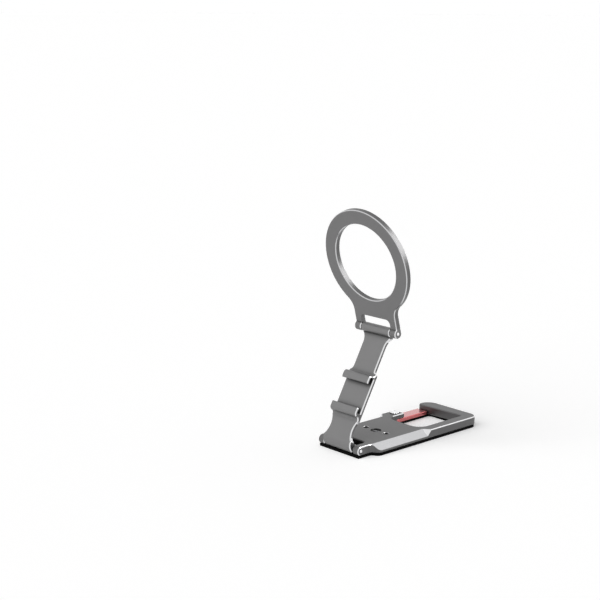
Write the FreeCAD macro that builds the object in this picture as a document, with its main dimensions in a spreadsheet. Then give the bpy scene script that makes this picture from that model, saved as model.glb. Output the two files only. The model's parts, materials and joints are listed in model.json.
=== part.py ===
import FreeCAD, Part
import math
import os
import Sketcher

# Folding phone stand: a carabiner base, a waisted arm and a magnetic ring, joined by two friction hinges.
# Millimetres and degrees. +X runs along the base from the hinge to the loop, +Y across it, +Z up.
# The origin is on the floor under the middle of the base.
SIZES = {
    # base plate
    "base_length": 90.4,
    "base_width": 37.66,
    "base_thickness": 4.74,
    "deck_width": 29.86,
    "slot_width": 21.1,
    "slot_depth": 7.7,
    "slot_corner": 2.2,
    "flare_start": 5.9,
    "flare_length": 5.6,
    "bevel_drop": 3.2,
    "bevel_end": 46.3,
    "runout_length": 3.35,
    "runout_slant": 3.07,
    "loop_wall": 6.2,
    "gate_wall": 7.3,
    "bar_width": 6.9,
    "nose_lead": 1.6,
    "nose_tip": 1.6,
    "nose_flat": 0.5,
    "window_start": 46.4,
    "window_rear_corner": 6.0,
    "window_corner": 1.5,
    "far_corner": 5.0,
    "tripod_place": 25.9,
    "tripod_bore": 5.2,
    "locating_pitch": 14.8,
    "locating_bore": 2.4,
    "edge_chamfer": 0.45,
    # anti-slip pad
    "pad_thickness": 1.49,
    "pad_inset": 0.35,
    "pad_rear": 1.5,
    "pad_hole_margin": 0.4,
    # carabiner gate
    "stub_end": 60.0,
    "pivot_place": 56.0,
    "gate_thickness": 1.9,
    "gate_gap": 0.3,
    "gate_tip_gap": 0.5,
    "gate_clearance": 0.1,
    "leaf_gap": 0.2,
    "gate_chamfer": 0.35,
    "gate_pin_diameter": 2.0,
    "gate_head_diameter": 5.2,
    "gate_head_height": 0.6,
    "gate_flange_diameter": 3.2,
    "gate_flange_height": 0.6,
    "spring_recess": 6.1,
    "spring_recess_depth": 0.7,
    "spring_strip": 0.3,
    "spring_height": 0.45,
    "spring_reach": 2.4,
    "spring_anchor": 3.4,
    "spring_peg": 0.7,
    "spring_peg_place": 2.2,
    # hinges
    "pin_diameter": 2.0,
    "pin_chamfer": 0.25,
    "seat_clearance": 0.02,
    "running_clearance": 0.03,
    "sleeve_wall": 0.5,
    "sleeve_length": 16.0,
    "sleeve_slit": 0.6,
    "washer_thickness": 0.3,
    "washer_diameter": 4.2,
    "side_clearance": 0.08,
    "knuckle_radius": 2.2,
    "crown_radius": 2.5,
    "deck_gap": 0.65,
    "fold_gap": 0.15,
    # arm
    "arm_angle": 60.7,
    "arm_reach": 63.24,
    "plate_thickness": 1.95,
    "arm_width": 19.3,
    "waist_width": 16.5,
    "neck_width": 15.9,
    "heel_height": 2.6,
    "root_fillet": 3.0,
    "crown_drop": 0.7,
    "lip_height": 3.75,
    "lip_thickness": 1.6,
    "lip_round": 0.75,
    "lower_lip_top": 20.2,
    "lower_groove": 2.75,
    "lower_root": 3.9,
    "upper_lip_bottom": 33.6,
    "upper_groove": 3.6,
    "upper_cap": 0.95,
    "upper_corner": 1.9,
    "upper_fillet": 1.2,
    "neck_bottom": 41.9,
    "neck_top": 55.1,
    "crown_flare": 5.1,
    "arm_chamfer": 0.5,
    "front_chamfer": 0.35,
    # ring
    "ring_angle": 104.7,
    "neck_length": 9.28,
    "ring_outer": 58.0,
    "ring_band": 7.8,
    "ring_thickness": 2.8,
    "ring_back": 0.74,
    "ring_ear_radius": 2.55,
    "neck_fillet": 8.0,
    "neck_window": 7.4,
    "neck_window_corner": 2.5,
    "ring_chamfer": 0.4,
    "rim_wall": 0.85,
    "yoke_thickness": 0.4,
    "magnet_thickness": 1.0,
    "magnet_count": 16,
    "magnet_gap": 0.5,
    "cover_thickness": 0.55,
    "cover_proud": 0.15,
    "ring_fit": 0.1,
}


class Size:
    """A number together with the sheet expression that it comes from."""

    def __init__(self, value, text):
        self.value = value
        self.text = text

    def __add__(self, other):
        return joined(self, "+", other, lambda a, b: a + b)

    def __radd__(self, other):
        return joined(other, "+", self, lambda a, b: a + b)

    def __sub__(self, other):
        return joined(self, "-", other, lambda a, b: a - b)

    def __rsub__(self, other):
        return joined(other, "-", self, lambda a, b: a - b)

    def __mul__(self, other):
        return joined(self, "*", other, lambda a, b: a * b)

    def __rmul__(self, other):
        return joined(other, "*", self, lambda a, b: a * b)

    def __truediv__(self, other):
        return joined(self, "/", other, lambda a, b: a / b)

    def __rtruediv__(self, other):
        return joined(other, "/", self, lambda a, b: a / b)

    def __neg__(self):
        return Size(-self.value, f"(-{self.text})")


def sized(value):
    """A plain number as a Size."""
    return value if isinstance(value, Size) else Size(float(value), f"({value})")


def joined(left, sign, right, rule):
    """Two sizes joined by an arithmetic sign."""
    left = sized(left)
    right = sized(right)
    return Size(rule(left.value, right.value), f"({left.text} {sign} {right.text})")


def root(size):
    """Square root of a size."""
    return Size(math.sqrt(size.value), f"sqrt({size.text})")


def sine(angle):
    """Sine of an angle in degrees."""
    return Size(math.sin(math.radians(angle.value)), f"sin({angle.text})")


def cosine(angle):
    """Cosine of an angle in degrees."""
    return Size(math.cos(math.radians(angle.value)), f"cos({angle.text})")


def leg(slant, other):
    """The third side of a right-angled triangle, from its longest side and one other."""
    return root(slant * slant - other * other)


doc = FreeCAD.newDocument("phone_stand")
sheet = doc.addObject("Spreadsheet::Sheet", "sizes")
named = {}
for row, (alias, number) in enumerate(SIZES.items(), start=1):
    sheet.set(f"A{row}", alias)
    sheet.set(f"B{row}", str(number))
    sheet.setAlias(f"B{row}", alias)
    named[alias] = Size(float(number), f"sizes.{alias}")
doc.recompute()


def size(alias):
    """The named size from the sheet."""
    return named[alias]


def bind(target, prop, amount):
    """Ties a property to the sheet."""
    target.setExpression(prop, sized(amount).text)


def new_body(name, along=0, across=0, up=0, lean=None):
    """A body set at a point, and leaning about Y by an angle where one is given."""
    body = doc.addObject("PartDesign::Body", name)
    body.Label = name
    if lean is not None:
        body.Placement = FreeCAD.Placement(FreeCAD.Vector(), FreeCAD.Rotation(FreeCAD.Vector(0, 1, 0), 1))
        bind(body, "Placement.Rotation.Angle", lean)
    bind(body, "Placement.Base.x", along)
    bind(body, "Placement.Base.y", across)
    bind(body, "Placement.Base.z", up)
    return body


def new_sketch(body, name, plane, offset=0):
    """A sketch on one of the body's own planes, moved along that plane's normal."""
    sketch = body.newObject("Sketcher::SketchObject", name)
    origin_plane = next(item for item in body.Origin.OriginFeatures if item.Role == plane)
    sketch.AttachmentSupport = [(origin_plane, "")]
    sketch.MapMode = "FlatFace"
    bind(sketch, "AttachmentOffset.Base.z", offset)
    return sketch


def fix_point(sketch, geometry, end, x, y):
    """Ties a point of the sketch to its two distances from the sketch's origin."""
    for kind, amount in (("DistanceX", x), ("DistanceY", y)):
        amount = sized(amount)
        index = sketch.addConstraint(Sketcher.Constraint(kind, -1, 1, geometry, end, amount.value))
        bind(sketch, f"Constraints[{index}]", amount)


def draw_circle(sketch, x, y, radius):
    """A whole circle."""
    x = sized(x)
    y = sized(y)
    centre = FreeCAD.Vector(x.value, y.value, 0)
    circle = Part.Circle(centre, FreeCAD.Vector(0, 0, 1), sized(radius).value)
    geometry = sketch.addGeometry(circle, False)
    fix_point(sketch, geometry, 3, x, y)
    index = sketch.addConstraint(Sketcher.Constraint("Radius", geometry, sized(radius).value))
    bind(sketch, f"Constraints[{index}]", radius)


def arc_between(start, stop, radius, turn):
    """The shorter arc between two points, turning left or right on the way from start to stop."""
    middle = (start + stop) * 0.5
    chord = stop - start
    side = FreeCAD.Vector(-chord.y, chord.x, 0)
    side.normalize()
    reach = math.sqrt(max(radius ** 2 - (chord.Length / 2) ** 2, 0))
    centre = middle + side * (reach if turn == "left" else -reach)
    first, last = (start, stop) if turn == "left" else (stop, start)
    angles = [math.atan2(point.y - centre.y, point.x - centre.x) for point in (first, last)]
    circle = Part.Circle(centre, FreeCAD.Vector(0, 0, 1), radius)
    return Part.ArcOfCircle(circle, angles[0], angles[1])


def draw_outline(sketch, corners):
    """A closed outline. A corner is (x, y), or (x, y, radius, turn) where an arc leads to the next one."""
    points = [FreeCAD.Vector(sized(c[0]).value, sized(c[1]).value, 0) for c in corners]
    pieces = []
    for index, corner in enumerate(corners):
        start = points[index]
        stop = points[(index + 1) % len(corners)]
        if len(corner) == 2:
            pieces.append((sketch.addGeometry(Part.LineSegment(start, stop), False), 1, 2))
            continue
        radius, turn = corner[2:]
        arc = arc_between(start, stop, sized(radius).value, turn)
        ends = (1, 2) if turn == "left" else (2, 1)
        pieces.append((sketch.addGeometry(arc, False), *ends))
    for index, (geometry, start_end, stop_end) in enumerate(pieces):
        following, following_end = pieces[(index + 1) % len(pieces)][:2]
        sketch.addConstraint(Sketcher.Constraint("Coincident", geometry, stop_end, following, following_end))
        fix_point(sketch, geometry, start_end, *corners[index][:2])
        if len(corners[index]) > 2:
            radius = sized(corners[index][2])
            rule = sketch.addConstraint(Sketcher.Constraint("Radius", geometry, radius.value))
            bind(sketch, f"Constraints[{rule}]", radius)


def block_corners(x_from, x_to, y_from, y_to):
    """The four corners of a rectangle."""
    return [(x_from, y_from), (x_to, y_from), (x_to, y_to), (x_from, y_to)]


def add_feature(body, kind, name, sketch, length=None, both_ways=False):
    """A pad or pocket of a sketch; with no length it goes right through."""
    feature = body.newObject(f"PartDesign::{kind}", name)
    feature.Profile = sketch
    if both_ways:
        feature.SideType = "Symmetric"
    if length is None:
        feature.Type = "ThroughAll"
    else:
        bind(feature, "Length", length)
    sketch.Visibility = False
    doc.recompute()
    return feature


def cut_hole(body, name, plane, x, y, radius, length=None, offset=0, both_ways=True):
    """A round hole."""
    sketch = new_sketch(body, f"{name}_sketch", plane, offset)
    draw_circle(sketch, x, y, radius)
    return add_feature(body, "Pocket", name, sketch, length, both_ways)


def chamfer_edges(body, name, amount, wanted):
    """Chamfers the edges of the body's last feature that the test picks."""
    base = body.Tip
    picked = [f"Edge{n}" for n, edge in enumerate(base.Shape.Edges, start=1) if wanted(edge)]
    chamfer = body.newObject("PartDesign::Chamfer", name)
    chamfer.Refine = False
    chamfer.Base = (base, picked)
    bind(chamfer, "Size", amount)
    doc.recompute()
    return chamfer


# Edges and places closer than this lie together.
NEAR = 1e-3


def lies_at(edge, axis, place):
    """True where the whole edge lies at one place along an axis."""
    box = edge.BoundBox
    low = getattr(box, f"{axis}Min")
    high = getattr(box, f"{axis}Max")
    return abs(low - place) < NEAR and abs(high - place) < NEAR


def on_rim(edge, place, radii):
    """True for a round edge of one of the radii that lies at a distance to either side of the middle."""
    if not (lies_at(edge, "Y", place.value) or lies_at(edge, "Y", -place.value)):
        return False
    return isinstance(edge.Curve, Part.Circle) and any(abs(edge.Curve.Radius - r.value) < NEAR for r in radii)


# Places that several pieces share, measured from the base hinge.
ear_radius = size("base_thickness") / 2
hinge_along = ear_radius - size("base_length") / 2
hinge_up = size("pad_thickness") + ear_radius
deck_top = size("pad_thickness") + size("base_thickness")
half_base = size("base_width") / 2
half_deck = size("deck_width") / 2
half_slot = size("slot_width") / 2
far_end = size("base_length") - ear_radius
half_window = half_base - size("loop_wall")
gate_side = half_base - size("gate_wall")
bar_face = far_end - size("bar_width")
nose_face = bar_face - size("nose_lead")
knuckle_length = size("slot_width") - 2 * (size("washer_thickness") + size("side_clearance"))
arm_lean = 90 - size("arm_angle")
ring_lean = 90 - size("ring_angle")
plate_front = ear_radius + size("deck_gap")
plate_back = plate_front + size("plate_thickness")
ring_axis_back = plate_back + size("fold_gap") + size("ring_back")
ring_along = hinge_along + size("arm_reach") * sine(arm_lean) - ring_axis_back * cosine(arm_lean)
ring_up = hinge_up + size("arm_reach") * cosine(arm_lean) + ring_axis_back * sine(arm_lean)
ring_inner = size("ring_outer") / 2 - size("ring_band")
ring_reach = size("ring_outer") / 2 + size("neck_length")
pin_radius = size("pin_diameter") / 2
sleeve_inner = pin_radius + size("running_clearance")
sleeve_outer = sleeve_inner + size("sleeve_wall")


def side_corners(inset, rear, side):
    """One long side of the base's plan, from the ear's rear to the full width, its flare an S of two arcs."""
    wide = half_base - inset
    deck = half_deck - inset
    flare = size("flare_start")
    run = size("flare_length")
    step = half_base - half_deck
    bend = (run * run + step * step) / (4 * step)
    middle = (flare + run / 2, side * (wide + deck) / 2)
    if side < 0:
        return [(rear, -deck), (flare, -deck, bend, "right"), (*middle, bend, "left"), (flare + run, -wide)]
    return [(flare + run, wide, bend, "left"), (*middle, bend, "right"), (flare, deck), (rear, deck)]


def window_corners(inset):
    """The loop's window from its far corner round its rear to the gate's side."""
    inner = half_window + inset
    face = bar_face + inset
    corner = size("window_corner")
    rear = size("window_start") - inset
    rear_corner = size("window_rear_corner")
    gate_inner = gate_side + inset
    return [
        (face, corner - inner, corner, "right"),
        (face - corner, -inner),
        (rear + rear_corner, -inner, rear_corner, "right"),
        (rear, rear_corner - inner),
        (rear, gate_inner - rear_corner, rear_corner, "right"),
        (rear + rear_corner, gate_inner),
    ]


def far_corners(inset):
    """The loop's far end: a round corner, the bar's outside and the larger round of the nose."""
    wide = half_base - inset
    end = far_end - inset
    far_corner = size("far_corner") - inset
    nose = far_end - nose_face - size("nose_tip") - size("nose_flat") - inset
    return [
        (end - far_corner, -wide, far_corner, "left"),
        (end, far_corner - wide),
        (end, wide - nose, nose, "left"),
        (end - nose, wide),
    ]


# Where the gate turns, in the base's plan, and the leaf of the base that it turns under.
pivot_across = half_base - size("gate_wall") / 2
heel_radius = size("gate_wall") / 2
gate_pin_radius = size("gate_pin_diameter") / 2
gate_bottom = size("pad_thickness") + size("gate_clearance")
gate_top = gate_bottom + size("gate_thickness")
leaf_bottom = gate_top + size("leaf_gap")
spring_inner = gate_pin_radius + size("gate_clearance")
spring_outer = spring_inner + size("spring_strip")
spring_bottom = leaf_bottom + size("gate_clearance")


def make_base_plate():
    """One machined plate: hinge ears, deck with tripod thread, leaf over the gate's heel, open loop."""
    body = new_body("base_blank", hinge_along)
    sketch = new_sketch(body, "base_plan", "XY_Plane", size("pad_thickness"))
    slot_end = size("slot_depth")
    slot_corner = size("slot_corner")
    tip = size("nose_tip")
    draw_outline(sketch, [
        *side_corners(0, -ear_radius, -1),
        *far_corners(0),
        (nose_face + tip, half_base, tip, "left"),
        (nose_face, half_base - tip),
        *window_corners(0),
        (size("stub_end"), gate_side),
        (size("stub_end"), half_base),
        *side_corners(0, -ear_radius, 1),
        (-ear_radius, half_slot),
        (slot_end - slot_corner, half_slot, slot_corner, "right"),
        (slot_end, half_slot - slot_corner),
        (slot_end, slot_corner - half_slot, slot_corner, "right"),
        (slot_end - slot_corner, -half_slot),
        (-ear_radius, -half_slot),
    ])
    add_feature(body, "Pad", "base_slab", sketch, size("base_thickness"))

    sketch = new_sketch(body, "ear_round_outline", "XZ_Plane")
    beyond = ear_radius * 2
    low = size("pad_thickness")
    draw_outline(sketch, [
        (-beyond, low - beyond),
        (0, low - beyond),
        (0, low, ear_radius, "right"),
        (-ear_radius, hinge_up, ear_radius, "right"),
        (0, deck_top),
        (0, deck_top + beyond),
        (-beyond, deck_top + beyond),
    ])
    add_feature(body, "Pocket", "ear_round", sketch, 2 * size("base_width"), both_ways=True)

    # The gate's heel turns in a round pocket under the leaf; its spring lies in a recess above it.
    pivot = size("pivot_place")
    turning = heel_radius + size("gate_gap")
    past_end = size("stub_end") + size("gate_gap")
    sketch = new_sketch(body, "leaf_plan", "XY_Plane", leaf_bottom)
    draw_outline(sketch, [
        (pivot, pivot_across - turning),
        (past_end, pivot_across - turning),
        (past_end, pivot_across + turning),
        (pivot, pivot_across + turning, turning, "left"),
        (pivot - turning, pivot_across, turning, "left"),
    ])
    add_feature(body, "Pocket", "leaf_pocket", sketch, leaf_bottom)
    recess = size("spring_recess_depth")
    cut_hole(body, "spring_recess_hole", "XY_Plane", pivot, pivot_across, size("spring_recess") / 2,
             recess, leaf_bottom + recess, both_ways=False)
    sketch = new_sketch(body, "anchor_plan", "XY_Plane", leaf_bottom + recess)
    room = size("gate_clearance")
    anchor_end = pivot + size("spring_anchor") + room
    draw_outline(sketch, block_corners(pivot, anchor_end, pivot_across + spring_inner - room,
                                       pivot_across + spring_outer + room))
    add_feature(body, "Pocket", "anchor_slot", sketch, recess)

    pin_hole = pin_radius + size("seat_clearance")
    cut_hole(body, "hinge_pin_hole", "XZ_Plane", 0, hinge_up, pin_hole)
    cut_hole(body, "tripod_hole", "XY_Plane", size("tripod_place"), 0, size("tripod_bore") / 2)
    for side in (-1, 1):
        name = "left_locating_hole" if side > 0 else "right_locating_hole"
        across = side * size("locating_pitch") / 2
        cut_hole(body, name, "XY_Plane", size("tripod_place"), across, size("locating_bore") / 2)

    top = deck_top.value
    def on_top_or_ear_rim(edge):
        if lies_at(edge, "Z", top):
            return not lies_at(edge, "X", 0)
        return any(on_rim(edge, place, [ear_radius]) for place in (half_deck, half_slot))

    chamfer_edges(body, "base_edges", size("edge_chamfer"), on_top_or_ear_rim)

    gate_hole = gate_pin_radius + size("seat_clearance")
    cut_hole(body, "gate_pin_hole", "XY_Plane", size("pivot_place"), pivot_across, gate_hole)
    return cut_bevels(body)


def cut_bevels(body):
    """Cuts the two long bevels of the deck, each with a slanted run-out facet before the loop."""
    cutters = []
    for side in (-1, 1):
        name = "left" if side > 0 else "right"
        section = new_body(f"{name}_bevel_section", hinge_along)
        sketch = new_sketch(section, f"{name}_bevel_triangle", "YZ_Plane", -ear_radius)
        draw_outline(sketch, [
            (side * half_deck, deck_top),
            (side * (2 * half_base - half_deck), deck_top),
            (side * (2 * half_base - half_deck), deck_top - 2 * size("bevel_drop")),
        ])
        add_feature(section, "Pad", f"{name}_bevel_prism", sketch, size("base_length"))

        reach = new_body(f"{name}_bevel_reach", hinge_along)
        sketch = new_sketch(reach, f"{name}_bevel_plan", "XY_Plane", deck_top)
        end = size("bevel_end")
        runout = size("runout_length")
        out = half_base - half_deck
        draw_outline(sketch, [
            (-ear_radius, side * half_deck),
            (end, side * half_deck),
            (end + 2 * runout, side * (half_deck + 2 * out)),
            (-ear_radius, side * (half_deck + 2 * out)),
        ])
        pad = add_feature(reach, "Pad", f"{name}_bevel_slant", sketch, 2 * size("bevel_drop"))
        pad.UseCustomVector = True
        pad.AlongSketchNormal = True
        bind(pad, "Direction.x", -size("runout_slant"))
        bind(pad, "Direction.z", -size("bevel_drop"))
        common = doc.addObject("Part::MultiCommon", f"{name}_bevel_cutter")
        common.Shapes = [section, reach]
        cutters.append(common)
    both = doc.addObject("Part::MultiFuse", "bevel_cutters")
    both.Shapes = cutters
    plate = doc.addObject("Part::Cut", "base_plate")
    plate.Base = body
    plate.Tool = both
    plate.Label = "base_plate"
    doc.recompute()
    return plate


def make_base_pad():
    """Black anti-slip pad, one closed loop under the base and the gate, with room round the tripod hole."""
    body = new_body("base_pad", hinge_along)
    sketch = new_sketch(body, "pad_plan", "XY_Plane")
    inset = size("pad_inset")
    draw_outline(sketch, [
        *side_corners(inset, -size("pad_rear"), -1),
        *far_corners(inset),
        *side_corners(inset, -size("pad_rear"), 1),
    ])
    add_feature(body, "Pad", "pad_sheet", sketch, size("pad_thickness"))
    sketch = new_sketch(body, "pad_window_plan", "XY_Plane", size("pad_thickness"))
    far_inner = gate_side + inset
    corner = size("window_corner")
    draw_outline(sketch, [
        *window_corners(inset),
        (bar_face + inset - corner, far_inner, corner, "right"),
        (bar_face + inset, far_inner - corner),
    ])
    add_feature(body, "Pocket", "pad_window", sketch)
    margin = size("pad_hole_margin")
    cut_hole(body, "pad_tripod_hole", "XY_Plane", size("tripod_place"), 0, size("tripod_bore") / 2 + margin)
    return body


def make_gate():
    """Red gate: a flat bar with a round heel under the base's leaf, and a peg that loads the spring."""
    body = new_body("gate", hinge_along)
    pivot = size("pivot_place")
    tip = nose_face - size("gate_tip_gap")
    sketch = new_sketch(body, "gate_plan", "XY_Plane", gate_bottom)
    draw_outline(sketch, [
        (pivot, gate_side),
        (tip, gate_side),
        (tip, half_base),
        (pivot, half_base, heel_radius, "left"),
        (pivot - heel_radius, pivot_across, heel_radius, "left"),
    ])
    add_feature(body, "Pad", "gate_bar", sketch, size("gate_thickness"))

    def on_top_edge(edge):
        return lies_at(edge, "Z", gate_top.value)

    chamfer_edges(body, "gate_edges", size("gate_chamfer"), on_top_edge)

    peg = size("spring_peg") / 2
    sketch = new_sketch(body, "gate_peg_plan", "XY_Plane", gate_bottom)
    peg_across = pivot_across - spring_inner + peg + size("running_clearance")
    draw_circle(sketch, pivot + size("spring_peg_place"), peg_across, peg)
    add_feature(body, "Pad", "gate_peg", sketch, spring_bottom + size("spring_height") - gate_bottom)
    cut_hole(body, "gate_bore", "XY_Plane", pivot, pivot_across, gate_pin_radius + size("running_clearance"))
    sink = size("gate_flange_height") + 2 * size("gate_clearance")
    sink_radius = size("gate_flange_diameter") / 2 + size("gate_clearance")
    cut_hole(body, "gate_counterbore", "XY_Plane", pivot, pivot_across, sink_radius,
             sink, gate_bottom + sink, both_ways=False)
    return body


def make_gate_pin():
    """Riveted pin of the gate: a broad head on the deck and a small one sunk in the gate's underside."""
    body = new_body("gate_pivot_pin", hinge_along + size("pivot_place"), pivot_across)
    sketch = new_sketch(body, "gate_pin_profile", "XZ_Plane")
    head = size("gate_head_diameter") / 2
    head_top = deck_top + size("gate_head_height")
    flange = size("gate_flange_diameter") / 2
    flange_low = gate_bottom + size("gate_clearance")
    flange_top = flange_low + size("gate_flange_height")
    break_edge = size("pin_chamfer")
    draw_outline(sketch, [
        (0, flange_low),
        (flange, flange_low),
        (flange, flange_top),
        (gate_pin_radius, flange_top),
        (gate_pin_radius, deck_top),
        (head, deck_top),
        (head, head_top - break_edge),
        (head - break_edge, head_top),
        (0, head_top),
    ])
    turn_profile(body, "gate_pin_turned", sketch)
    return body


def turn_profile(body, name, sketch):
    """Turns a profile a full circle about the sketch's upright axis."""
    feature = body.newObject("PartDesign::Revolution", name)
    feature.Profile = sketch
    feature.ReferenceAxis = (sketch, ["V_Axis"])
    feature.Angle = 360
    sketch.Visibility = False
    doc.recompute()


def make_gate_spring():
    """Strip spring bent round the pin: one leg held in the leaf, the other behind the gate's peg."""
    body = new_body("gate_spring", hinge_along + size("pivot_place"), pivot_across, spring_bottom)
    sketch = new_sketch(body, "spring_plan", "XY_Plane")
    reach = size("spring_reach")
    anchor = size("spring_anchor")
    draw_outline(sketch, [
        (reach, -spring_outer),
        (reach, -spring_inner),
        (0, -spring_inner, spring_inner, "right"),
        (-spring_inner, 0, spring_inner, "right"),
        (0, spring_inner),
        (anchor, spring_inner),
        (anchor, spring_outer),
        (0, spring_outer, spring_outer, "left"),
        (-spring_outer, 0, spring_outer, "left"),
        (0, -spring_outer),
    ])
    add_feature(body, "Pad", "spring_bend", sketch, size("spring_height"))
    return body


def make_hinge_set(name, along, up):
    """Pin, split friction sleeve and two side washers of one hinge, on an axis across the stand."""
    pin = new_body(f"{name}_hinge_pin", along, 0, up)
    sketch = new_sketch(pin, f"{name}_pin_profile", "XY_Plane")
    chamfer = size("pin_chamfer")
    draw_outline(sketch, [
        (0, -half_deck),
        (pin_radius - chamfer, -half_deck),
        (pin_radius, chamfer - half_deck),
        (pin_radius, half_deck - chamfer),
        (pin_radius - chamfer, half_deck),
        (0, half_deck),
    ])
    turn_profile(pin, f"{name}_pin_turned", sketch)

    sleeve = new_body(f"{name}_friction_sleeve", along, 0, up)
    sketch = new_sketch(sleeve, f"{name}_sleeve_section", "XZ_Plane")
    draw_circle(sketch, 0, 0, sleeve_outer)
    draw_circle(sketch, 0, 0, sleeve_inner)
    add_feature(sleeve, "Pad", f"{name}_sleeve_tube", sketch, size("sleeve_length"), both_ways=True)
    sketch = new_sketch(sleeve, f"{name}_sleeve_slit", "XY_Plane")
    slit = size("sleeve_slit") / 2
    draw_outline(sketch, block_corners(-slit, slit, -size("sleeve_length"), size("sleeve_length")))
    add_feature(sleeve, "Pocket", f"{name}_slit_cut", sketch, 2 * sleeve_outer).Reversed = True

    washers = new_body(f"{name}_hinge_washers", along, 0, up)
    washers.AllowCompound = True
    sketch = new_sketch(washers, f"{name}_washer_section", "XZ_Plane", half_slot - size("washer_thickness"))
    draw_circle(sketch, 0, 0, size("washer_diameter") / 2)
    draw_circle(sketch, 0, 0, sleeve_inner)
    washer = add_feature(washers, "Pad", f"{name}_washer", sketch, size("washer_thickness"))
    pair = washers.newObject("PartDesign::Mirrored", f"{name}_washer_pair")
    pair.Originals = [washer]
    middle = next(item for item in washers.Origin.OriginFeatures if item.Role == "XZ_Plane")
    pair.MirrorPlane = (middle, [""])
    washers.Tip = pair
    doc.recompute()
    return [pin, sleeve, washers]


def make_arm():
    """One-piece arm: plate with a knuckle before it below, one behind it above, and two lips on its back."""
    body = new_body("arm", hinge_along, 0, hinge_up, arm_lean)
    full = size("arm_width")

    def across(name, corners, width):
        sketch = new_sketch(body, f"{name}_side", "XZ_Plane")
        draw_outline(sketch, corners)
        add_feature(body, "Pad", name, sketch, width, both_ways=True)

    # The plate runs from the lower knuckle's web to the upper knuckle.
    crown_low = size("arm_reach") - size("crown_drop")
    heel = size("heel_height")
    knuckle = size("knuckle_radius")
    web_top = size("lower_lip_top") - size("lower_groove") - size("lower_root")
    across("arm_plate", block_corners(-plate_back, -plate_front, heel, crown_low), knuckle_length)

    # Lower knuckle: a round barrel whose back swells out to meet the plate's back in one arc.
    heel_arc = (plate_back * plate_back + heel * heel - knuckle * knuckle) / (2 * (plate_back - knuckle))
    heel_centre = heel_arc - plate_back
    heel_share = heel_arc / (heel_arc - knuckle)
    heel_x = heel_centre - heel_centre * heel_share
    heel_z = heel - heel * heel_share
    fillet = size("root_fillet")
    fillet_centre = fillet - plate_front
    fillet_up = leg(fillet + knuckle, fillet_centre)
    fillet_share = knuckle / (fillet + knuckle)
    across("lower_knuckle", [
        (-plate_back, heel, heel_arc, "left"),
        (heel_x, heel_z, knuckle, "left"),
        (knuckle, 0, knuckle, "left"),
        (fillet_centre * fillet_share, fillet_up * fillet_share, fillet, "right"),
        (-plate_front, fillet_up),
        (-plate_front, web_top),
        (-plate_back, web_top),
    ], knuckle_length)

    # Upper knuckle: a barrel behind the plate, the plate's front rolled over to its top.
    crown = size("crown_radius")
    crown_in = ring_axis_back - plate_front
    drop = size("crown_drop")
    crown_arc = (crown_in * crown_in + drop * drop - crown * crown) / (2 * (crown_in - crown))
    crown_x = -plate_front - crown_arc
    crown_share = crown_arc / (crown_arc - crown)
    axis_up = size("arm_reach")
    top_x = crown_x + (-ring_axis_back - crown_x) * crown_share
    top_z = crown_low + drop * crown_share
    across("upper_knuckle", [
        (-plate_front, crown_low, crown_arc, "left"),
        (top_x, top_z, crown, "left"),
        (-ring_axis_back - crown, axis_up, crown, "left"),
        (-ring_axis_back, axis_up - crown),
        (-plate_front, axis_up - crown),
    ], knuckle_length)

    # Lower lip: opens upwards, its outside sweeping down to the plate in an S.
    lip_out = plate_back + size("lip_height")
    lip_in = lip_out - size("lip_thickness")
    round_off = size("lip_round")
    lip_top = size("lower_lip_top")
    groove = lip_top - size("lower_groove")
    sweep_low = groove - size("lower_root")
    half_rise = size("lower_root") / 2
    half_out = size("lip_height") / 2
    sweep = (half_rise * half_rise + half_out * half_out) / (2 * half_out)
    across("lower_lip", [
        (-plate_front, sweep_low),
        (-plate_front, groove),
        (-lip_in, groove),
        (-lip_in, lip_top - round_off, round_off, "left"),
        (-lip_in - round_off, lip_top),
        (round_off - lip_out, lip_top, round_off, "left"),
        (-lip_out, lip_top - round_off),
        (-lip_out, groove, sweep, "left"),
        (-plate_back - half_out, groove - half_rise, sweep, "right"),
        (-plate_back, sweep_low),
    ], full)

    # Upper lip: opens downwards, with a rounded top corner and a fillet to the plate.
    lip_low = size("upper_lip_bottom")
    roof = lip_low + size("upper_groove")
    cap = roof + size("upper_cap")
    corner = size("upper_corner")
    cove = size("upper_fillet")
    across("upper_lip", [
        (-plate_front, roof),
        (-plate_front, cap + cove),
        (-plate_back, cap + cove, cove, "right"),
        (-plate_back - cove, cap),
        (corner - lip_out, cap, corner, "left"),
        (-lip_out, cap - corner),
        (-lip_out, lip_low + round_off, round_off, "left"),
        (round_off - lip_out, lip_low),
        (-lip_in - round_off, lip_low, round_off, "left"),
        (-lip_in, lip_low + round_off),
        (-lip_in, roof),
    ], full)

    trim_arm(body, cap + cove, sweep_low)
    bore = sleeve_outer + size("seat_clearance")
    cut_hole(body, "lower_bore", "XZ_Plane", 0, 0, bore)
    cut_hole(body, "upper_bore", "XZ_Plane", -ring_axis_back, axis_up, bore)

    half_reach = axis_up.value / 2

    def along_plate(edge, face, least):
        box = edge.BoundBox
        return lies_at(edge, "X", -face.value) and box.ZLength > max(box.YLength, least)

    def on_low_rim(edge):
        return edge.BoundBox.ZMax < half_reach and on_rim(edge, knuckle_length / 2, (knuckle, heel_arc))

    def on_lip_end(edge):
        box = edge.BoundBox
        beside = lies_at(edge, "Y", full.value / 2) or lies_at(edge, "Y", -full.value / 2)
        in_groove = lies_at(edge, "Z", groove.value) or lies_at(edge, "Z", roof.value)
        raised = box.XMin < -plate_back.value - NEAR and box.XMax < -plate_back.value + NEAR
        return beside and raised and not in_groove

    def on_crown_rim(edge):
        return edge.BoundBox.ZMin > half_reach and on_rim(edge, knuckle_length / 2, (crown, crown_arc))

    def on_front(edge):
        return along_plate(edge, plate_front, 0) or on_crown_rim(edge)

    def on_back(edge):
        return along_plate(edge, plate_back, heel.value) or on_low_rim(edge) or on_lip_end(edge)

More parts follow.
